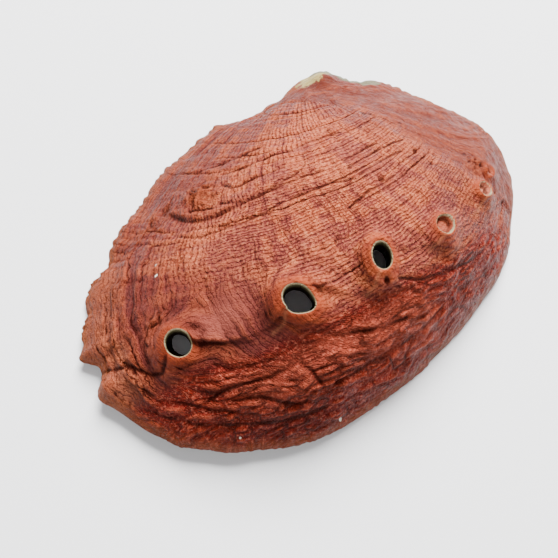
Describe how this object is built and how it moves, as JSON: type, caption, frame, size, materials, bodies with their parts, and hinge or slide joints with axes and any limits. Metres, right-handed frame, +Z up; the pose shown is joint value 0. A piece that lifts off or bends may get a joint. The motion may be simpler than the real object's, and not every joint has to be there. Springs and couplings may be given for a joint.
{
  "type": "abalone shell",
  "caption": "Ear-shaped domed sea shell with a rough ridged red outside, a row of raised breathing holes and a smooth hollow inside.",
  "frame": {"origin": "centre of the bounding box in plan, at the lowest point of the margin, on the surface that the shell lies on", "axes": "+Z up out of the dome, +X along the length towards the spire end, -Y towards the side with the row of holes"},
  "size_m": [0.1903, 0.131, 0.0546],
  "materials": {
    "shell": "rough, satin in the folds"
  },
  "bodies": {
    "root": {"abalone_shell": "shell"}
  },
  "joints": []
}
